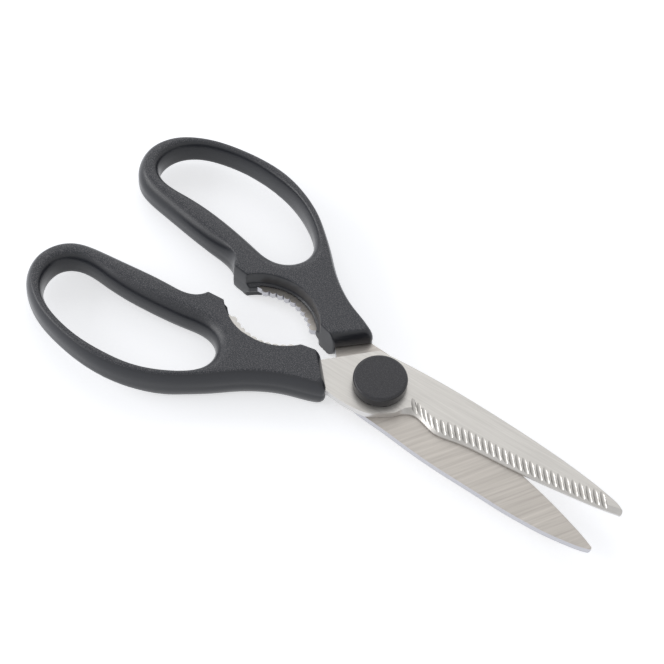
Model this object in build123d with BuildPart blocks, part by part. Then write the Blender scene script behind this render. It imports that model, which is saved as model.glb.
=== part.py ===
"""Kitchen shears: two steel blades on one pivot, each with a plastic handle moulded on its tang.

Millimetres. The origin is on the pivot's axis, on the plane that the rear cap rests on. Z points up
through the pivot, and X towards the tips, halfway between the two blades as they lie in the photograph.
Each half of the shears is drawn closed, with its handle on one side of the X axis, and is turned
about the pivot by half of the opening. The front half is the upper blade with the lower left handle.
"""
import os
from math import cos, hypot, radians, sin

from build123d import *

os.makedirs("parts", exist_ok=True)

# How the two halves lie in the photograph
half_opening = 6.2            # degrees that each half is turned from closed
front_side, rear_side = -1, 1  # the side of the X axis that each handle is on when closed

# Heights, from the plane that the rear cap rests on
handle_thickness = 13.4
half_thickness = handle_thickness / 2
blade_thickness = 2.5
blade_gap = 0.06              # between the two blades' inner faces, so that they slide
front_level = half_thickness + blade_gap / 2
front_top = front_level + blade_thickness
rear_level = half_thickness - blade_gap / 2
rear_bottom = rear_level - blade_thickness

# The handle's outline where the mould parts, halfway up, as shares of its reach from the pivot and
# of its spread from the middle line. The third share says how far the wall has leaned in at the
# top, also of the spread.
handle_reach = 129.8
handle_spread = 44.3
wall_shares = [
    (0.153, 0.342, 0.034), (0.209, 0.386, 0.036), (0.266, 0.453, 0.036), (0.326, 0.557, 0.034),
    (0.379, 0.674, 0.033), (0.432, 0.781, 0.032), (0.484, 0.873, 0.030), (0.537, 0.938, 0.029),
    (0.597, 0.986, 0.030), (0.657, 1.006, 0.032), (0.717, 0.996, 0.033), (0.777, 0.963, 0.034),
    (0.837, 0.913, 0.036), (0.889, 0.851, 0.040), (0.934, 0.768, 0.043), (0.971, 0.664, 0.047),
    (0.994, 0.539, 0.051), (1.000, 0.394, 0.052), (0.987, 0.269, 0.054), (0.963, 0.175, 0.056),
    (0.928, 0.108, 0.061), (0.883, 0.079, 0.065), (0.819, 0.069, 0.068), (0.752, 0.062, 0.068),
    (0.684, 0.058, 0.065), (0.632, 0.064, 0.059), (0.595, 0.072, 0.045), (0.565, 0.065, 0.027),
]
finger_hole_shares = [
    (0.416, 0.497, 0.088), (0.426, 0.394, 0.090), (0.455, 0.310, 0.093), (0.497, 0.275, 0.090),
    (0.543, 0.281, 0.086), (0.603, 0.294, 0.079), (0.685, 0.301, 0.072), (0.752, 0.292, 0.065),
    (0.804, 0.273, 0.061), (0.857, 0.252, 0.056), (0.900, 0.267, 0.052), (0.931, 0.332, 0.047),
    (0.943, 0.439, 0.044), (0.933, 0.590, 0.040), (0.898, 0.713, 0.035), (0.848, 0.795, 0.032),
    (0.794, 0.849, 0.029), (0.732, 0.884, 0.028), (0.664, 0.894, 0.028), (0.603, 0.885, 0.028),
    (0.546, 0.846, 0.030), (0.492, 0.775, 0.036), (0.451, 0.693, 0.050), (0.425, 0.602, 0.070),
]
heel_corner_shares = [(0.174, 0.032), (0.105, 0.291)]       # of the end face, halfway up
heel_corner_top_shares = [(0.193, 0.036), (0.125, 0.275)]   # of the end face, at the top
heel_corner_round = 1.5       # where the end face meets the outer wall
bumper_shares = [(0.533, -0.005, 0.008), (0.439, -0.005, 0.008)]
guard_shares = (0.277, 0.062, 0.008)
shoulder_share = 0.66         # height at which a wall has leaned in by the next share of its lean
shoulder_lean_share = 0.26
underside_rise = 3.0          # how much higher the loop's underside is than the neck's
rise_start_share = 0.44       # where the underside starts to rise, as a share of the reach
rise_end_share = 0.70
top_edge_round = 0.55

# The toothed jaw in each handle: a round cut in the plastic, with the tang's teeth standing out of it
jaw_radius = 21.2
jaw_centre_shares = (0.350, -0.275)
lip_reach = 1.3               # how far the plastic slopes forward to the tang's faces
tooth_root_reach = 2.0        # how far the valleys between the teeth stand out of the round cut
tooth_height_share = 0.4731   # of the teeth's pitch along the valleys
tooth_count = 10
first_tooth_angle = -40.0     # degrees about the jaw's centre, from straight across
last_tooth_angle = 42.0

# The blades' outlines, as shares of the reach of the tip and of the heel's half width
blade_reach = 93.4
heel_half_width = 13.4
back_corner_shares = (-0.071, -0.910)
front_spine_shares = [
    (0.002, -0.910), (0.214, -0.851), (0.426, -0.709), (0.662, -0.485), (0.812, -0.291),
    (0.889, -0.164), (0.945, -0.052), (0.978, 0.037), (0.994, 0.112),
]
front_tip_shares = (1.000, 0.168)
front_edge_shares = [
    (0.989, 0.224), (0.959, 0.257), (0.901, 0.306), (0.827, 0.347), (0.755, 0.381), (0.654, 0.414),
    (0.550, 0.425), (0.453, 0.418), (0.381, 0.433), (0.332, 0.478), (0.294, 0.515), (0.262, 0.507),
    (0.238, 0.455), (0.215, 0.392), (0.192, 0.336), (0.170, 0.313), (0.148, 0.351), (0.127, 0.440),
    (0.110, 0.552),
]
front_heel_shares = [
    (0.090, 0.672), (0.067, 0.769), (0.039, 0.910), (-0.002, 0.985), (-0.073, 0.993),
]
rear_spine_shares = [
    (0.022, -0.925), (0.135, -0.881), (0.246, -0.858), (0.360, -0.806), (0.467, -0.724),
    (0.560, -0.649), (0.640, -0.590), (0.730, -0.493), (0.825, -0.358), (0.916, -0.172),
    (0.959, -0.060), (0.980, 0.015),
]
rear_tip_shares = (0.986, 0.067)
rear_edge_shares = [
    (0.980, 0.119), (0.954, 0.172), (0.863, 0.306), (0.775, 0.410), (0.690, 0.485), (0.615, 0.537),
    (0.489, 0.597), (0.362, 0.642), (0.234, 0.694), (0.130, 0.746),
]
rear_heel_shares = [
    (0.072, 0.821), (0.034, 0.925), (-0.007, 0.963), (-0.071, 0.955),
]

# The tang in the handle, as shares of the handle's reach and spread
tang_shares = [
    (0.108, 0.275), (0.166, 0.293), (0.239, 0.330), (0.323, 0.379), (0.384, 0.348), (0.438, 0.239),
    (0.490, 0.190), (0.513, 0.142),
]
tang_end_shares = [
    (0.513, 0.104), (0.495, 0.072), (0.467, 0.043),
]
tang_guard_shares = [
    (0.239, 0.074), (0.208, 0.084), (0.186, 0.085),
]
tang_hole_radius = 2.6
tang_hole_shares = (0.278, 0.275)

# The ground edges, and the scallops that are ground across the corner of the front blade's bevel
edge_land = 0.55              # thickness that is left at the cutting edge
bevel_width = 1.9
bevel_run_out = 4.0           # length over which the bevel widens from the heel
bevel_tip_share = 0.25        # how much of its width the bevel has lost at the tip
bevel_overrun_shares = [(1.040, 0.215), (1.040, 0.020)]  # past the front blade's and the rear's tip
edge_clear = 0.15             # how far outside the edge the bevel's cut passes at the land
scallop_count = 29
scallop_radius = 0.9          # of the narrow wheel that grinds them
scallop_depth = 0.8           # below the corner of the bevel
scallop_slope = 12.0          # degrees that the wheel dips below the blade's face
scallop_lean = 39.0           # degrees that each scallop leans towards the pivot at its upper end
scallop_stroke = 16.0         # length of the wheel's pass, which leaves the steel at both ends
first_scallop_share = 0.915   # along the edge's curve from the tip
last_scallop_share = 0.055

# The pivot
shoulder_radius = 4.0
shoulder_clearance = 0.05     # round the shoulder, where the front blade turns on it
flat_half_width = 3.3         # from the axis to each flat that the rear blade grips
thread_radius = 3.0
bolt_head_radius = 6.4
bolt_head_height = 1.9
nut_across_flats = 9.0
nut_height = 2.2
washer_radius = 6.2
slide_washer_thickness = 0.3
spring_washer_thickness = 0.35
spring_washer_dome = 0.55     # height of the domed washer, pressed
running_gap = 0.05            # between faces that slide on each other
bore_clearance = 0.3          # round the shoulder, where a loose washer sits
cap_radius = 9.5
cap_edge_round = 1.0
cap_wall = 1.9
cap_gap = 0.2                 # under the front cap, where the front blade turns

front_frame = Plane.XY.rotated((0, 0, half_opening))
rear_frame = Plane.XY.rotated((0, 0, -half_opening))


def handle_point(shares, side):
    """A point of the handle, from its shares of the reach and the spread."""
    return (-handle_reach * shares[0], side * handle_spread * shares[1])


def blade_point(shares, side):
    """A point of the blade, from its shares of the reach and the heel's half width."""
    return (blade_reach * shares[0], side * heel_half_width * shares[1])


def moved_left(points, distances, closed):
    """The points, each moved to the left of the way they run by its own distance."""
    last, moved = len(points) - 1, []
    for i, (x, y) in enumerate(points):
        x0, y0 = points[i - 1 if i or closed else 0]
        x1, y1 = points[(i + 1) % len(points) if i < last or closed else last]
        step = distances[i] / hypot(x1 - x0, y1 - y0)
        moved.append((x - step * (y1 - y0), y + step * (x1 - x0)))
    return moved


def leaned(rows, lean_share):
    """The rows' points, each moved into the plastic by a share of its own lean."""
    points = [(-handle_reach * row[0], handle_spread * row[1]) for row in rows]
    return moved_left(points, [handle_spread * row[2] * lean_share for row in rows], closed=True)


def handle_section(side, lean_share):
    """The handle's outline at one level: its end face, its outer and inner walls and its bumper."""
    corners = []
    for low, high in zip(heel_corner_shares, heel_corner_top_shares):
        corners.append(tuple(a + (b - a) * lean_share for a, b in zip(low, high)) + (0,))
    rows = corners + wall_shares + bumper_shares + [guard_shares]
    points = [(x, side * y) for x, y in leaned(rows, lean_share)]
    bumper_back = len(corners) + len(wall_shares)
    with BuildSketch() as section:
        with BuildLine():
            Line(points[0], points[1])
            Spline(points[1:bumper_back + 1])
            Polyline(points[bumper_back:] + [points[0]])
        make_face()
        outer_corner = section.vertices().sort_by_distance(points[1])[0]
        fillet(outer_corner, radius=heel_corner_round)
    return section.sketch


def hole_section(side, lean_share):
    """The finger hole's outline at one level."""
    points = [(x, side * y) for x, y in leaned(finger_hole_shares, lean_share)]
    with BuildSketch() as section:
        with BuildLine():
            Spline(points, periodic=True)
        make_face()
    return section.sketch


def moulding(side, frame):
    """The handle without its jaw and its tang: two halves that meet where the mould parts."""
    levels = [(0, 0), (shoulder_share, shoulder_lean_share), (1, 1)]
    with BuildPart() as blank:
        for direction in (1, -1):
            for height_share, lean_share in levels:
                with BuildSketch(frame.offset(half_thickness * (1 + direction * height_share))):
                    add(handle_section(side, lean_share))
            loft()
        for direction in (1, -1):
            for height_share, lean_share in levels:
                with BuildSketch(frame.offset(half_thickness * (1 + direction * height_share))):
                    add(hole_section(side, lean_share))
            loft(mode=Mode.SUBTRACT)
        side_view = Plane(origin=frame.origin, x_dir=frame.x_dir, z_dir=-frame.y_dir)
        with BuildSketch(side_view):
            with BuildLine():
                start = (-handle_reach * rise_start_share, 0)
                end = (-handle_reach * rise_end_share, underside_rise)
                rise = Spline(start, end, tangents=[(-1, 0), (-1, 0)])
                far = Line(end, (-handle_reach - handle_spread, underside_rise))
                Polyline(far @ 1, (-handle_reach - handle_spread, -underside_rise),
                         (-handle_reach * rise_start_share, -underside_rise), start)
            make_face()
        extrude(amount=handle_reach, both=True, mode=Mode.SUBTRACT)
        top = blank.faces().sort_by(Axis.Z)[-1]
        fillet(top.edges(), radius=top_edge_round)
    return blank.part


def jaw_cut(side, frame, tang_low):
    """The round cut of the jaw, with a lip that slopes forward to the tang's two faces."""
    centre = handle_point(jaw_centre_shares, side)
    axis_plane = Plane(origin=frame.from_local_coords(Vector(*centre, 0)), x_dir=frame.x_dir,
                       z_dir=-frame.y_dir)
    tang_high = tang_low + blade_thickness
    lip_radius = jaw_radius - lip_reach
    profile = [(0, -lip_reach), (jaw_radius, -lip_reach), (jaw_radius, tang_low - lip_reach),
               (lip_radius, tang_low), (lip_radius, tang_high), (jaw_radius, tang_high + lip_reach),
               (jaw_radius, handle_thickness + lip_reach), (0, handle_thickness + lip_reach)]
    with BuildPart() as cut:
        with BuildSketch(axis_plane):
            with BuildLine():
                Polyline(profile, close=True)
            make_face()
        revolve(axis=Axis(axis_plane.origin, (0, 0, 1)))
    return cut.part


def jaw_teeth(side):
    """Points along the teeth, valley, tip, valley, from the tang's end towards the pivot."""
    centre_x, centre_y = handle_point(jaw_centre_shares, side)
    root_radius = jaw_radius - tooth_root_reach
    pitch = radians(last_tooth_angle - first_tooth_angle) / tooth_count
    tip_radius = root_radius * (1 - tooth_height_share * pitch)
    points = []
    for half in range(2 * tooth_count + 1):
        angle = radians(first_tooth_angle) + pitch * half / 2
        out = tip_radius if half % 2 else root_radius
        points.append((centre_x + out * sin(angle), centre_y + side * out * cos(angle)))
    return points


def blade_outline(side, spine_shares, tip_shares, edge_shares, heel_shares):
    """A blade and its tang in one outline, from the heel's back edge round to the jaw's teeth."""
    back_corner = blade_point(back_corner_shares, side)
    spine = [blade_point(pair, side) for pair in spine_shares]
    edge = [blade_point(pair, side) for pair in edge_shares]
    heel = [blade_point(pair, side) for pair in heel_shares]
    tang = [handle_point(pair, side) for pair in tang_shares]
    tang_end = [handle_point(pair, side) for pair in tang_end_shares]
    tang_guard = [handle_point(pair, side) for pair in tang_guard_shares]
    teeth = jaw_teeth(side)
    with BuildSketch() as outline:
        with BuildLine():
            Spline([back_corner] + spine)
            ThreePointArc(spine[-1], blade_point(tip_shares, side), edge[0])
            Spline(edge)
            Spline([edge[-1]] + heel + [tang[0]])
            Spline(tang)
            Spline([tang[-1]] + tang_end)
            Line(tang_end[-1], teeth[0])
            for i in range(0, len(teeth) - 1, 2):
                ThreePointArc(teeth[i], teeth[i + 1], teeth[i + 2])
            Polyline([teeth[-1]] + tang_guard + [back_corner])
        make_face()
    return outline.sketch


def bevel_cut(side, frame, edge_shares, overrun_shares, land_level, face_level):
    """The wedge that is ground away between the land along the edge and the blade's face."""
    points = [(blade_reach * x, heel_half_width * y) for x, y in [overrun_shares] + edge_shares]
    heel_x = points[-1][0]
    widths = []
    for x, y in points:
        run_in = min(1, (x - heel_x) / bevel_run_out)
        widths.append(bevel_width * run_in * (1 - bevel_tip_share * x / blade_reach))
    outside = 2 * heel_half_width
    with BuildPart() as wedge:
        for level, spread_share in ((land_level, 0), (face_level, 1)):
            distances = [width * spread_share - edge_clear * (1 - spread_share) for width in widths]
            distances[-1] = -edge_clear
            curve = [(x, side * y) for x, y in moved_left(points, distances, closed=False)]
            with BuildSketch(frame.offset(level)):
                with BuildLine():
                    Spline(curve)
                    Polyline(curve[-1], (curve[-1][0], side * outside), (curve[0][0], side * outside),
                             curve[0])
                make_face()
        loft(ruled=True)
    return wedge.part


def scallop_planes():
    """A plane across each scallop's stroke, where it passes the corner of the bevel."""
    edge = Spline([blade_point(pair, front_side) for pair in front_edge_shares])
    inward = Vector(0, -front_side, 0).rotate(Axis.Z, scallop_lean)
    stroke = inward * cos(radians(scallop_slope)) + Vector(0, 0, sin(radians(scallop_slope)))
    planes = []
    for i in range(scallop_count):
        share = first_scallop_share + (last_scallop_share - first_scallop_share) * i / (scallop_count - 1)
        corner = (edge @ share) + inward * (bevel_width / cos(radians(scallop_lean)))
        middle = corner + Vector(0, 0, front_top + scallop_radius - scallop_depth)
        planes.append(Plane(front_frame.location * Plane(origin=middle, z_dir=stroke).location))
    return planes


with BuildPart() as front_blade:
    with BuildSketch(front_frame.offset(front_level)):
        add(blade_outline(front_side, front_spine_shares, front_tip_shares, front_edge_shares,
                          front_heel_shares))
    extrude(amount=blade_thickness)
    with BuildSketch(front_frame.offset(front_level)):
        Circle(shoulder_radius + shoulder_clearance)
        with Locations(handle_point(tang_hole_shares, front_side)):
            Circle(tang_hole_radius)
    extrude(amount=blade_thickness, mode=Mode.SUBTRACT)

    add(bevel_cut(front_side, front_frame, front_edge_shares, bevel_overrun_shares[0],
                  front_level + edge_land, front_top), mode=Mode.SUBTRACT)
    with Locations(*scallop_planes()):
        Cylinder(scallop_radius, scallop_stroke, mode=Mode.SUBTRACT)

with BuildPart() as rear_blade:
    with BuildSketch(rear_frame.offset(rear_bottom)):
        add(blade_outline(rear_side, rear_spine_shares, rear_tip_shares, rear_edge_shares,
                          rear_heel_shares))
    extrude(amount=blade_thickness)
    with BuildSketch(rear_frame.offset(rear_bottom)):
        with BuildSketch(mode=Mode.PRIVATE) as flats:
            Rectangle(2 * flat_half_width, 2 * shoulder_radius)
        Circle(shoulder_radius)
        add(flats.sketch, mode=Mode.INTERSECT)
        with Locations(handle_point(tang_hole_shares, rear_side)):
            Circle(tang_hole_radius)
    extrude(amount=blade_thickness, mode=Mode.SUBTRACT)

    add(bevel_cut(rear_side, rear_frame, rear_edge_shares, bevel_overrun_shares[1],
                  rear_level - edge_land, rear_bottom), mode=Mode.SUBTRACT)

with BuildPart() as front_handle:
    add(moulding(front_side, front_frame))
    add(jaw_cut(front_side, front_frame, front_level), mode=Mode.SUBTRACT)
    add(front_blade.part, mode=Mode.SUBTRACT)

with BuildPart() as rear_handle:
    add(moulding(rear_side, rear_frame))
    add(jaw_cut(rear_side, rear_frame, rear_bottom), mode=Mode.SUBTRACT)
    add(rear_blade.part, mode=Mode.SUBTRACT)

# The pivot, from the rear cap up to the front cap. The slide washer turns with the front blade.
slide_washer_top = front_top + slide_washer_thickness
spring_washer_level = slide_washer_top + running_gap
head_level = spring_washer_level + spring_washer_dome
nut_level = rear_bottom - nut_height
cap_level = front_top + cap_gap

with BuildPart() as pivot_bolt:
    with BuildSketch(Plane.XY.offset(nut_level)):
        Circle(thread_radius)
    extrude(amount=nut_height)
    with BuildSketch(rear_frame.offset(rear_bottom)):
        Circle(shoulder_radius)
        Rectangle(2 * flat_half_width, 2 * shoulder_radius, mode=Mode.INTERSECT)
    extrude(amount=blade_thickness)
    with BuildSketch(Plane.XY.offset(rear_level)):
        Circle(shoulder_radius)
    extrude(amount=head_level - rear_level)
    with BuildSketch(Plane.XY.offset(head_level)):
        Circle(bolt_head_radius)
    extrude(amount=bolt_head_height)

with BuildPart() as pivot_nut:
    with BuildSketch(Plane.XY.offset(nut_level)):
        RegularPolygon(nut_across_flats / 2, 6, major_radius=False)
        Circle(thread_radius, mode=Mode.SUBTRACT)
    extrude(amount=nut_height)

with BuildPart() as slide_washer:
    with BuildSketch(Plane.XY.offset(front_top)):
        Circle(washer_radius)
        Circle(shoulder_radius + bore_clearance, mode=Mode.SUBTRACT)
    extrude(amount=slide_washer_thickness)

with BuildPart() as spring_washer:
    with BuildSketch(Plane.XZ):
        with BuildLine():
            bore = shoulder_radius + bore_clearance
            Polyline((bore, head_level - spring_washer_thickness), (washer_radius, spring_washer_level),
                     (washer_radius, spring_washer_level + spring_washer_thickness), (bore, head_level),
                     close=True)
        make_face()
    revolve(axis=Axis.Z)

with BuildPart() as front_cap:
    with BuildSketch(Plane.XY.offset(cap_level)):
        Circle(cap_radius)
    extrude(amount=handle_thickness - cap_level)
    fillet(front_cap.edges().sort_by(Axis.Z)[-1], radius=cap_edge_round)
    with BuildSketch(Plane.XY.offset(cap_level)):
        Circle(cap_radius - cap_wall)
    extrude(amount=head_level - cap_level, mode=Mode.SUBTRACT)
    with BuildSketch(Plane.XY.offset(head_level)):
        Circle(bolt_head_radius)
    extrude(amount=bolt_head_height, mode=Mode.SUBTRACT)

with BuildPart() as rear_cap:
    with BuildSketch(Plane.XY):
        Circle(cap_radius)
    extrude(amount=rear_bottom)
    fillet(rear_cap.edges().sort_by(Axis.Z)[0], radius=cap_edge_round)
    with BuildSketch(Plane.XY.offset(nut_level - cap_gap)):
        Circle(cap_radius - cap_wall)
    extrude(amount=rear_bottom - nut_level + cap_gap, mode=Mode.SUBTRACT)

pieces = {
    "front_blade": front_blade, "front_handle": front_handle, "slide_washer": slide_washer,
    "rear_blade": rear_blade, "rear_handle": rear_handle, "pivot_bolt": pivot_bolt,
    "pivot_nut": pivot_nut, "spring_washer": spring_washer, "front_cap": front_cap, "rear_cap": rear_cap,
}
for name, piece in pieces.items():
    piece.part.label = name
    print(name, piece.part.volume, len(piece.solids()), piece.part.is_valid)
    export_step(piece.part, "parts/" + name + ".step")
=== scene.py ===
# %% [markdown]
# # Kitchen shears
# A lesson in dressing a finished CAD model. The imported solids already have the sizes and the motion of
# the real shears: two steel blades, two moulded handles, and a pivot under two round caps. Blender adds
# what the solids can't show: the satin of ground steel, the sparkle of charcoal plastic, soft round
# edges, a camera, a floor and light. Every length is in metres, unless its name says another unit.

from math import cos, radians, sin

import bpy
from mathutils import Matrix, Vector


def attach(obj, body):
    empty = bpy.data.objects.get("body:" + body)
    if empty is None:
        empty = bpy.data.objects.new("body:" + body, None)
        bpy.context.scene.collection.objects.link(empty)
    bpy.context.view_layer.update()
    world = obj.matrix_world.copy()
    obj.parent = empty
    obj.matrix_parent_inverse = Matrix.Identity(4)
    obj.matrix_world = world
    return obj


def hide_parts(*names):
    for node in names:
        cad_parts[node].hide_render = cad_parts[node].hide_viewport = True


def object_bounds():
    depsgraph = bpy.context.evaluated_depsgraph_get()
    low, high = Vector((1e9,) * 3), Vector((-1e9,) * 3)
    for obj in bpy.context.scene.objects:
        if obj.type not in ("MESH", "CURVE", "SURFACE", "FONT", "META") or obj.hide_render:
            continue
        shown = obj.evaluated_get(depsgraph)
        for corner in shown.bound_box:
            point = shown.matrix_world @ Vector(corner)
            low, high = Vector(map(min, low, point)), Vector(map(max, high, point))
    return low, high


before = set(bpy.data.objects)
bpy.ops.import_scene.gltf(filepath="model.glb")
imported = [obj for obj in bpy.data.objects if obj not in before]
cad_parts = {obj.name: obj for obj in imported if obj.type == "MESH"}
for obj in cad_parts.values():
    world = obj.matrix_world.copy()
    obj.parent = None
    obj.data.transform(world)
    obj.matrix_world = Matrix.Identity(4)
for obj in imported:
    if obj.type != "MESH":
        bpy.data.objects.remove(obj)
cad_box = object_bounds()
print("nodes:", sorted(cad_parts))

# %% [markdown]
# ## The camera
# The photograph was taken from above the lower right, about 55 degrees up. Its lens and place were
# solved from the round cap, whose size is known once the scale is, and from the two handles, which are
# mirror images of each other. A camera can be turned by three angles, but they only work in one order.
# Writing its three directions as the columns of its matrix is the surest way to repeat such a view,
# because no order of turns has to be remembered.

# %% Place the camera
camera_place = Vector((0.18456, -0.33781, 0.57903))
camera_right = Vector((0.80934, 0.58469, 0.05571)).normalized()
camera_look = Vector((-0.30092, 0.49425, -0.81558)).normalized()
camera_up = camera_right.cross(camera_look).normalized()
sensor_width_mm = 36
lens_mm = 108.43

camera_data = bpy.data.cameras.new("photo_camera")
camera_data.sensor_width = sensor_width_mm
camera_data.lens = lens_mm
camera = bpy.data.objects.new("photo_camera", camera_data)
bpy.context.scene.collection.objects.link(camera)
camera_turn = Matrix((camera_right, camera_up, -camera_look)).transposed().to_4x4()
camera.matrix_world = Matrix.Translation(camera_place) @ camera_turn
bpy.context.scene.camera = camera
bpy.context.scene.view_settings.view_transform = "Standard"
print("camera at", tuple(round(v, 3) for v in camera_place))

# %% [markdown]
# ## The floor
# The shears lie on the rear cap and on the undersides of the two necks, so the floor is a plain level
# sheet at the height of the cap's face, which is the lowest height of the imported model. It is laid a
# hair lower, so that two faces never fight for the same place in a shadow.

# %% Lay the floor
floor_width = 6
floor_squares = 4
floor_drop = 0.00005

bpy.ops.mesh.primitive_grid_add(x_subdivisions=floor_squares, y_subdivisions=floor_squares,
                                size=floor_width)
floor = bpy.context.object
floor.name = "floor"
floor.location = (0, 0, cad_box[0][2] - floor_drop)
print("the floor lies at", floor.location.z)


# %% [markdown]
# ## Help for making materials
# Every finish here is a handful of nodes. These helpers make a node with its values, join nodes up,
# open a material or a node group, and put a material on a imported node, so that each finish below
# reads as a short recipe.

# %% Node helpers
def add_node(tree, kind, place, values=(), **settings):
    """A node of the kind, with its settings, and with its inputs' values given by name or number."""
    node = tree.nodes.new(kind)
    node.location = place
    for setting, value in settings.items():
        setattr(node, setting, value)
    for socket, value in dict(values).items():
        node.inputs[socket].default_value = value
    return node


def join(tree, *wires):
    """Draws each wire, which is written as a node, its output, the next node and its input."""
    for giver, output, taker, entry in wires:
        tree.links.new(giver.outputs[output], taker.inputs[entry])


print("nodes can be made and joined")


# %% Helpers for groups and materials
def new_group(name, inputs, outputs):
    """A node group with named sockets, and the two nodes that stand for them inside it."""
    tree = bpy.data.node_groups.new(name, "ShaderNodeTree")
    for direction, sockets in (("INPUT", inputs), ("OUTPUT", outputs)):
        for socket_name, kind in sockets.items():
            tree.interface.new_socket(socket_name, in_out=direction, socket_type="NodeSocket" + kind)
    group_in = add_node(tree, "NodeGroupInput", (-1100, 0))
    group_out = add_node(tree, "NodeGroupOutput", (700, 0))
    return tree, group_in, group_out


def new_material(name):
    """A node material with its principled shader, ready for a recipe."""
    material = bpy.data.materials.new(name)
    material.use_nodes = True
    tree = material.node_tree
    return material, tree, tree.nodes["Principled BSDF"]


def dress(node_name, material):
    """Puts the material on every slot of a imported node."""
    node_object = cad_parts[node_name]
    if not node_object.material_slots:
        node_object.data.materials.append(material)
    for material_slot in node_object.material_slots:
        material_slot.material = material


print("groups and materials can be opened")

# %% [markdown]
# ## Softer finger loops
# The loops are moulded to be held, so every edge round a finger is rolled over by two millimetres or
# more, while the neck, the jaw and the bumper stay crisp. A bevel would have to be chosen edge by edge
# on such a form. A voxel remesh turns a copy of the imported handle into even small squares, and then a
# smooth modifier rolls the edges over, held back by a vertex group everywhere but in the loop.
#
# First each point has to be told how far it belongs to the loop. Far behind the pivot all of the handle
# does. Nearer to it only the outer arm does, which stands well away from the line on which the two
# closed halves meet.

# %% Find the finger loop
half_opening = 6.2              # degrees that each half is turned from the closed line
whole_loop = (0.076, 0.088)     # behind the pivot: the stretch over which all of the handle joins in
outer_arm = (0.047, 0.058)      # behind the pivot: the stretch over which the outer arm joins in
arm_offset = (0.006, 0.011)     # from the closed line: the stretch over which the arm begins


def ramp(value, low, high):
    """From 0 at the low value to 1 at the high one."""
    return min(1.0, max(0.0, (value - low) / (high - low)))


def share_of_loop(point, turn_degrees):
    """1 in the finger loop, 0 in the neck and the jaw, and a share of 1 between them."""
    across, along = sin(radians(turn_degrees)), cos(radians(turn_degrees))
    x, y = point.xy
    back = -(x * along + y * across)
    side = abs(y * along - x * across)
    far = ramp(back, *whole_loop)
    near = ramp(back, *outer_arm) * ramp(side, *arm_offset)
    return max(far, near)


print("all of the handle is loop from", whole_loop[1], "m behind the pivot")

# %% [markdown]
# ## Rolling the edges
# Each round of the smooth modifier moves a point part of the way towards its neighbours, so the number
# of rounds sets how far an edge rolls over. Two more rounds over the whole piece even out the small
# steps that the voxels leave. The results are put into the mesh, because the next step needs the new
# points, and a plain mesh can be looked at and exported as it is.

# %% Roll the edges of the finger loops
square_size = 0.00035
smooth_factor = 0.5
smoothing = (("rolled_edges", 60, "loop"), ("even_skin", 2, ""))     # name, rounds, vertex group


def bake_modifiers(piece):
    """Puts the result of a piece's modifiers into its mesh."""
    graph = bpy.context.evaluated_depsgraph_get()
    baked = bpy.data.meshes.new_from_object(piece.evaluated_get(graph))
    piece.modifiers.clear()
    piece.data = baked


def soften_loop(node_name, body, piece_name, turn_degrees):
    """A copy of a packed handle whose loop has rolled edges."""
    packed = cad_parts[node_name]
    piece = bpy.data.objects.new(piece_name, packed.data.copy())
    bpy.context.scene.collection.objects.link(piece)
    piece.data.materials.clear()
    remesh = piece.modifiers.new("even_squares", "REMESH")
    remesh.mode = "VOXEL"
    remesh.voxel_size = square_size
    bake_modifiers(piece)
    group = piece.vertex_groups.new(name="loop")
    for vertex in piece.data.vertices:
        group.add([vertex.index], share_of_loop(vertex.co, turn_degrees), "REPLACE")
    for name, rounds, group_name in smoothing:
        smooth = piece.modifiers.new(name, "SMOOTH")
        smooth.factor, smooth.iterations, smooth.vertex_group = smooth_factor, rounds, group_name
    bake_modifiers(piece)
    for polygon in piece.data.polygons:
        polygon.use_smooth = True
    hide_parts(node_name)
    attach(piece, body)
    return piece


front_grip = soften_loop("front_handle", "front_half", "front_grip", half_opening)
rear_grip = soften_loop("rear_handle", "rear_half", "rear_grip", -half_opening)
print("grips have", len(front_grip.data.vertices), "and", len(rear_grip.data.vertices), "points")

# %% [markdown]
# ## Moulded texture, a shared effect
# Spark erosion gives the flat faces of the mould a fine frosted skin, and the plastic that fills it
# comes out with tiny facets that catch the light one by one. The walls slide along the mould as it
# opens, so they are polished smoother. An image could be painted for each piece, but a node group
# covers them all without a seam. It holds both finishes and chooses between them by how far a face
# points up or down, and it begins by telling the two kinds of face apart.

# %% Tell frosted faces from polished walls
moulded, moulded_in, moulded_out = new_group(
    "moulded_texture",
    {"Grain scale": "Float", "Top roughness": "Float", "Wall roughness": "Float",
     "Body colour": "Color", "Painted glint colour": "Color"},
    {"Colour": "Color", "Roughness": "Float", "Height": "Float", "Polish": "Float"})
own_place = add_node(moulded, "ShaderNodeTexCoord", (-900, -300))
facing = add_node(moulded, "ShaderNodeSeparateXYZ", (-700, -500))
upright = add_node(moulded, "ShaderNodeMath", (-500, -500), operation="ABSOLUTE")
frosted = add_node(moulded, "ShaderNodeMapRange", (-300, -450), {"From Min": 0.55, "From Max": 0.95})
join(moulded,
     (own_place, "Normal", facing, "Vector"),
     (facing, "Z", upright, 0),
     (upright, "Value", frosted, "Value"))
print("moulded texture begins with", len(moulded.nodes), "nodes")
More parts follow.
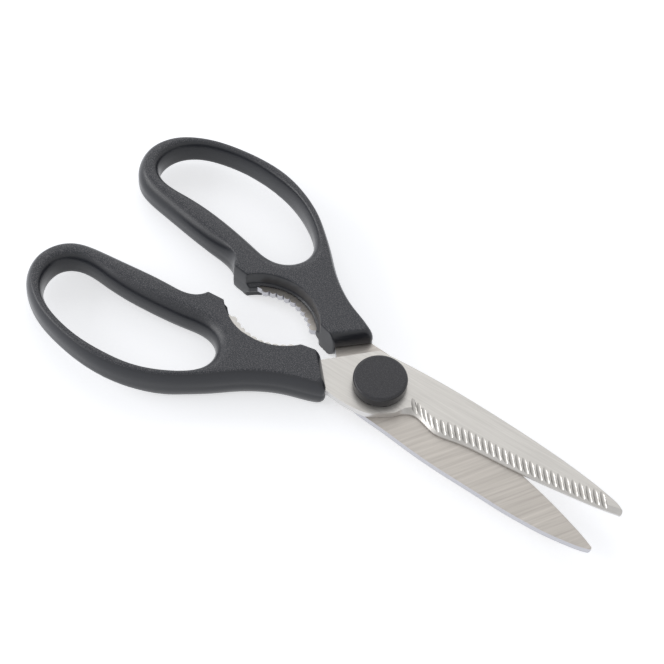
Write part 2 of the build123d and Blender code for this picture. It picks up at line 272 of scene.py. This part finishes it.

# %% [markdown]
# ## The sparkle, painted glints
# The facets are tiny, about a third of a millimetre wide here, and only some of them shine. Loose
# specks of geometry would be far too many. Fine noise paints their glints into the colour instead: its
# lighter part is a mask that mixes the lighter glint colour into the body's, on frosted faces only.

# %% Scatter the sparkle
grain = add_node(moulded, "ShaderNodeTexNoise", (-600, 0), {"Detail": 2.0, "Roughness": 0.6})
sparkle_mask = add_node(moulded, "ShaderNodeMapRange", (-350, 100),
                        {"From Min": 0.46, "From Max": 0.74, "To Min": 0.0, "To Max": 1.0})
sparkle_here = add_node(moulded, "ShaderNodeMath", (-150, 0), operation="MULTIPLY")
sparkled = add_node(moulded, "ShaderNodeMix", (100, 150), data_type="RGBA")
join(moulded,
     (own_place, "Object", grain, "Vector"),
     (moulded_in, "Grain scale", grain, "Scale"),
     (grain, "Fac", sparkle_mask, "Value"),
     (sparkle_mask, "Result", sparkle_here, 0),
     (frosted, "Result", sparkle_here, 1),
     (sparkle_here, "Value", sparkled, "Factor"),
     (moulded_in, "Body colour", sparkled, "A"),
     (moulded_in, "Painted glint colour", sparkled, "B"),
     (sparkled, "Result", moulded_out, "Colour"))
print("with the sparkle it has", len(moulded.nodes))

# %% [markdown]
# ## The skin's gloss and depth
# On the real handles the frosted faces are dull and grainy, and the walls have a shallow grain and a
# little gloss. The same mask chooses the roughness, sets how deep the grain's height goes, and puts out
# a polish for the walls alone, which the plastic takes as the weight of its clear coat.

# %% Set gloss and depth
rough_choice = add_node(moulded, "ShaderNodeMix", (100, -150), data_type="FLOAT")
grain_depth = add_node(moulded, "ShaderNodeMapRange", (-100, -350), {"To Min": 0.25, "To Max": 1.0})
height = add_node(moulded, "ShaderNodeMath", (300, -300), operation="MULTIPLY")
polish = add_node(moulded, "ShaderNodeMapRange", (300, -500), {"To Min": 0.12, "To Max": 0.0})
join(moulded,
     (frosted, "Result", rough_choice, "Factor"),
     (moulded_in, "Wall roughness", rough_choice, "A"),
     (moulded_in, "Top roughness", rough_choice, "B"),
     (rough_choice, "Result", moulded_out, "Roughness"),
     (frosted, "Result", grain_depth, "Value"),
     (grain, "Fac", height, 0),
     (grain_depth, "Result", height, 1),
     (height, "Value", moulded_out, "Height"),
     (frosted, "Result", polish, "Value"),
     (polish, "Result", moulded_out, "Polish"))
print("moulded texture has", len(moulded.nodes), "nodes")


# %% [markdown]
# ## Charcoal plastic
# The handles are a dark grey nylon with a faint blue cast. A plain dark colour would look like
# paint, so the moulded texture gives it a frosted skin with painted glints, and a bump at the scale of
# the eroded mould breaks up the highlights. The polished walls get a thin clear coat as well, and where
# they turn away they show the white surroundings, which the shader's own reflection does. The caps are
# moulded in the same way, with duller painted glints.

# %% Mix the plastics
def charcoal_plastic(name, body_colour, painted_glint_colour, grain_scale, top_roughness, wall_roughness):
    """Moulded plastic with a frosted skin and painted glints."""
    material, tree, shader = new_material(name)
    skin = add_node(tree, "ShaderNodeGroup", (-500, 0), node_tree=moulded)
    skin.inputs["Grain scale"].default_value = grain_scale
    skin.inputs["Top roughness"].default_value = top_roughness
    skin.inputs["Wall roughness"].default_value = wall_roughness
    skin.inputs["Body colour"].default_value = (*body_colour, 1)
    skin.inputs["Painted glint colour"].default_value = (*painted_glint_colour, 1)
    bump = add_node(tree, "ShaderNodeBump", (-250, -250), {"Strength": 0.3, "Distance": 0.0001})
    join(tree,
         (skin, "Colour", shader, "Base Color"),
         (skin, "Roughness", shader, "Roughness"),
         (skin, "Polish", shader, "Coat Weight"),
         (skin, "Height", bump, "Height"),
         (bump, "Normal", shader, "Normal"))
    shader.inputs["Coat Roughness"].default_value = 0.22
    shader.inputs["Specular IOR Level"].default_value = 0.42
    return material


# The lighter grain colour of each plastic is painted glints of its facets.
handle_plastic = charcoal_plastic("charcoal_handle", body_colour=(0.023, 0.025, 0.032),
                                  painted_glint_colour=(0.16, 0.16, 0.17), grain_scale=2900.0,
                                  top_roughness=0.5, wall_roughness=0.28)
cap_plastic = charcoal_plastic("charcoal_cap", body_colour=(0.022, 0.022, 0.027),
                               painted_glint_colour=(0.06, 0.06, 0.066), grain_scale=2600.0,
                               top_roughness=0.45, wall_roughness=0.22)
for grip in (front_grip, rear_grip):
    grip.data.materials.append(handle_plastic)
for node_name in ("front_handle", "rear_handle"):
    dress(node_name, handle_plastic)
for node_name in ("front_cap", "rear_cap"):
    dress(node_name, cap_plastic)
print("plastics:", handle_plastic.name, cap_plastic.name)

# %% [markdown]
# ## Ground steel, a shared effect
# A wheel drags its grit across the blade and leaves fine parallel lines. They could be scratched in one
# by one, but noise that is stretched about thirty times along one direction looks just like them. The
# group takes the direction's angle and the fineness of the lines, so that each blade can be ground its
# own way.

# %% Draw the grinding lines
stretch = 0.03      # the noise's scale along a line, as a share of its scale across

ground, ground_in, ground_out = new_group(
    "grinding_lines",
    {"Angle": "Float", "Fineness": "Float", "Dark steel": "Color", "Light steel": "Color",
     "Painted side reflection": "Color", "Painted flank light": "Float"},
    {"Colour": "Color", "Roughness": "Float", "Height": "Float"})
own_place = add_node(ground, "ShaderNodeTexCoord", (-1100, -300))
turned = add_node(ground, "ShaderNodeVectorRotate", (-850, -150), rotation_type="Z_AXIS")
stretched = add_node(ground, "ShaderNodeVectorMath", (-650, -150), {1: (stretch, 1.0, 1.0)},
                     operation="MULTIPLY")
lines = add_node(ground, "ShaderNodeTexNoise", (-450, -50), {"Detail": 4.0, "Roughness": 0.65})
steel_colour = add_node(ground, "ShaderNodeMix", (0, 100), data_type="RGBA")
join(ground,
     (own_place, "Object", turned, "Vector"),
     (ground_in, "Angle", turned, "Angle"),
     (turned, "Vector", stretched, 0),
     (stretched, "Vector", lines, "Vector"),
     (ground_in, "Fineness", lines, "Scale"),
     (lines, "Fac", steel_colour, "Factor"),
     (ground_in, "Dark steel", steel_colour, "A"),
     (ground_in, "Light steel", steel_colour, "B"),
     (lines, "Fac", ground_out, "Height"))
print("grinding lines begin with", len(ground.nodes), "nodes")

# %% [markdown]
# ## Uneven gloss
# A ground blade is never evenly dull: the wheel presses harder in some places. Soft clouds, about two
# centimetres across, move the roughness up and down a little. They could be painted, but broad noise
# does the same on both blades with nothing to paint.

# %% Cloud the gloss
clouds = add_node(ground, "ShaderNodeTexNoise", (-450, -350), {"Scale": 45.0, "Detail": 2.0})
rough_range = add_node(ground, "ShaderNodeMapRange", (0, -150),
                       {"From Min": 0.3, "From Max": 0.7, "To Min": 0.30, "To Max": 0.44})
join(ground,
     (own_place, "Object", clouds, "Vector"),
     (clouds, "Fac", rough_range, "Value"),
     (rough_range, "Result", ground_out, "Roughness"))
print("with the clouds they have", len(ground.nodes))

# %% [markdown]
# ## Painted reflection on the sides, painted light on the scallop flanks
# The stamped sides of a blade get a lighter steel than its ground faces, a painted reflection of the
# white floor round them. The scallops along the front blade's edge have two flanks each, and the one
# that faces the pivot gets a painted highlight while the one that faces the tip gets painted shade. A
# lamp for them alone would light everything else too, so the colour follows where a face points: its
# share of up and down tells the sides from the rest, and its share along the blade tells the two flanks
# apart.

# %% Pick out sides and flanks for the painted light
facing = add_node(ground, "ShaderNodeSeparateXYZ", (-850, -700))
upright = add_node(ground, "ShaderNodeMath", (-650, -800), operation="ABSOLUTE")
side_mask = add_node(ground, "ShaderNodeMapRange", (-450, -800),
                     {"From Min": 0.35, "From Max": 0.75, "To Min": 1.0, "To Max": 0.0})
sided = add_node(ground, "ShaderNodeMix", (200, 100), data_type="RGBA")
pivot_or_tip = add_node(ground, "ShaderNodeMapRange", (-450, -1050),
                        {"From Min": -0.55, "From Max": 0.55, "To Min": 1.0, "To Max": -1.0})
flank = add_node(ground, "ShaderNodeMath", (-200, -1050), operation="MULTIPLY")
not_side = add_node(ground, "ShaderNodeMath", (-250, -850), {0: 1.0}, operation="SUBTRACT")
flank_here = add_node(ground, "ShaderNodeMath", (0, -950), operation="MULTIPLY")
flank_gain = add_node(ground, "ShaderNodeMath", (150, -950), {1: 1.0}, operation="ADD")
flanked = add_node(ground, "ShaderNodeVectorMath", (350, 100), operation="SCALE")
join(ground,
     (own_place, "Normal", facing, "Vector"),
     (facing, "Z", upright, 0),
     (upright, "Value", side_mask, "Value"),
     (side_mask, "Result", sided, "Factor"),
     (steel_colour, "Result", sided, "A"),
     (ground_in, "Painted side reflection", sided, "B"),
     (facing, "X", pivot_or_tip, "Value"),
     (pivot_or_tip, "Result", flank, 0),
     (ground_in, "Painted flank light", flank, 1),
     (side_mask, "Result", not_side, 1),
     (flank, "Value", flank_here, 0),
     (not_side, "Value", flank_here, 1),
     (flank_here, "Value", flank_gain, 0),
     (sided, "Result", flanked, 0),
     (flank_gain, "Value", flanked, "Scale"),
     (flanked, "Vector", ground_out, "Colour"))
print("grinding lines have", len(ground.nodes), "nodes")


# %% [markdown]
# ## Satin steel
# Both blades are stainless, and a little warm. The upper one is grained nearly along its length and has
# the scallops, the lower one was ground across at a slant, and the pivot's hidden pieces have only
# faint lines. Three recipes would repeat each other, so one function makes all three steels, and only
# the colours, the lines, the painted reflection on the sides and the painted light on the flanks differ.

# %% Grind the steel
def satin_steel(name, dark, light, side, angle, fineness, bump_strength, painted_flank_light=0.0):
    """Ground stainless steel whose lines run at an angle, in degrees, from the X axis."""
    material, tree, shader = new_material(name)
    grinding = add_node(tree, "ShaderNodeGroup", (-500, 0), node_tree=ground)
    grinding.inputs["Angle"].default_value = -radians(angle)
    grinding.inputs["Fineness"].default_value = fineness
    grinding.inputs["Dark steel"].default_value = (*dark, 1)
    grinding.inputs["Light steel"].default_value = (*light, 1)
    grinding.inputs["Painted side reflection"].default_value = (*side, 1)
    grinding.inputs["Painted flank light"].default_value = painted_flank_light
    bump = add_node(tree, "ShaderNodeBump", (-250, -250),
                    {"Strength": bump_strength, "Distance": 0.00002})
    join(tree,
         (grinding, "Colour", shader, "Base Color"),
         (grinding, "Roughness", shader, "Roughness"),
         (grinding, "Height", bump, "Height"),
         (bump, "Normal", shader, "Normal"))
    shader.inputs["Metallic"].default_value = 1.0
    return material


# Each side colour is a painted reflection of the white floor on the upright faces, and the flank light
# paints a highlight on each scallop's pivot flank and shade on its tip flank.
front_steel = satin_steel("front_blade_steel", dark=(0.38, 0.367, 0.35), light=(0.60, 0.585, 0.56),
                          side=(0.70, 0.69, 0.68), angle=2, fineness=1500.0, bump_strength=0.2,
                          painted_flank_light=0.45)
rear_steel = satin_steel("rear_blade_steel", dark=(0.28, 0.262, 0.243), light=(0.57, 0.536, 0.50),
                         side=(0.56, 0.56, 0.59), angle=60, fineness=900.0, bump_strength=0.3)
pivot_steel = satin_steel("pivot_steel", dark=(0.45, 0.45, 0.44), light=(0.55, 0.55, 0.54),
                          side=(0.6, 0.6, 0.6), angle=0, fineness=600.0, bump_strength=0.1)
dress("front_blade", front_steel)
dress("rear_blade", rear_steel)
for node_name in ("pivot_bolt", "pivot_nut", "spring_washer", "slide_washer"):
    dress(node_name, pivot_steel)
print("steels:", front_steel.name, rear_steel.name, pivot_steel.name)


# %% [markdown]
# ## White paper
# A product photographer's sweep is white paper that is lit until it has no shade of its own. More
# light would bleach the shears as well. So the floor is a plain pale surface that glows a little, but
# only where the camera sees it, straight or in a reflection. The glow lifts the lit paper to full
# white, and the deeper shadows under the shears stay, because the floor's own shading is still there.

# %% Colour the floor
paper_colour = (0.78, 0.80, 0.85, 1)
paper_glow = 0.58
white = (1, 1, 1, 1)


def seen_directly(tree):
    """A mask that is 1 for what the camera sees, straight or in a reflection."""
    rays = add_node(tree, "ShaderNodeLightPath", (-300, 500))
    seen = add_node(tree, "ShaderNodeMath", (0, 400), operation="MAXIMUM")
    join(tree, (rays, "Is Camera Ray", seen, 0), (rays, "Is Glossy Ray", seen, 1))
    return seen


floor_material, tree, shader = new_material("paper_floor")
shader.inputs["Base Color"].default_value = paper_colour
shader.inputs["Roughness"].default_value = 1.0
shader.inputs["Specular IOR Level"].default_value = 0.0
glow = add_node(tree, "ShaderNodeEmission", (0, -300), {"Color": white, "Strength": paper_glow})
glowing = add_node(tree, "ShaderNodeAddShader", (250, -150))
paper = add_node(tree, "ShaderNodeMixShader", (450, 0))
join(tree,
     (shader, "BSDF", glowing, 0),
     (glow, "Emission", glowing, 1),
     (seen_directly(tree), "Value", paper, "Fac"),
     (shader, "BSDF", paper, 1),
     (glowing, "Shader", paper, 2),
     (paper, "Shader", tree.nodes["Material Output"], "Surface"))
floor.data.materials.append(floor_material)
print("floor:", floor_material.name)

# %% [markdown]
# ## The white room
# Steel shows what stands round it, and round these blades there was white. A world of full strength
# would also flood the shears with light from all sides and wash out their form. So the world has two
# strengths: full white for the camera and for reflections, and less than half of that as fill light.

# %% Paint the room
fill_strength = 0.4
white_strength = 1.0

world = bpy.data.worlds.new("white_room")
bpy.context.scene.world = world
world.use_nodes = True
tree = world.node_tree
fill = tree.nodes["Background"]
fill.inputs["Color"].default_value = white
fill.inputs["Strength"].default_value = fill_strength
backdrop = add_node(tree, "ShaderNodeBackground", (0, -200), {"Color": white, "Strength": white_strength})
room = add_node(tree, "ShaderNodeMixShader", (250, 0))
join(tree,
     (seen_directly(tree), "Value", room, "Fac"),
     (fill, "Background", room, 1),
     (backdrop, "Background", room, 2),
     (room, "Shader", tree.nodes["World Output"], "Surface"))
print("room:", world.name)


# %% [markdown]
# ## Light
# The highlights along the far edges of the loops tell of a very large soft lamp behind the shears on
# the left, and the faint shadows lie on the side away from it. A second, lower lamp on the near left
# lights the walls that face the camera. Small lamps would draw hard shadows and bright streaks in the
# steel, so both are wide.

# %% Hang the lamps
def soft_lamp(name, place, target, width, height, power):
    """A large area lamp that looks at the target."""
    lamp_data = bpy.data.lights.new(name, "AREA")
    lamp_data.shape = "RECTANGLE"
    lamp_data.size, lamp_data.size_y, lamp_data.energy = width, height, power
    lamp = bpy.data.objects.new(name, lamp_data)
    bpy.context.scene.collection.objects.link(lamp)
    lamp.location = place
    lamp.rotation_euler = (Vector(target) - Vector(place)).to_track_quat("-Z", "Y").to_euler()


soft_lamp("back_lamp", place=(-1.0, 1.3, 1.0), target=(-0.02, 0, 0), width=2.4, height=1.5, power=11.0)
soft_lamp("left_lamp", place=(-1.2, -0.65, 0.55), target=(-0.05, 0, 0), width=1.2, height=0.6, power=9.0)
print("lamps:", [lamp.name for lamp in bpy.data.lights])
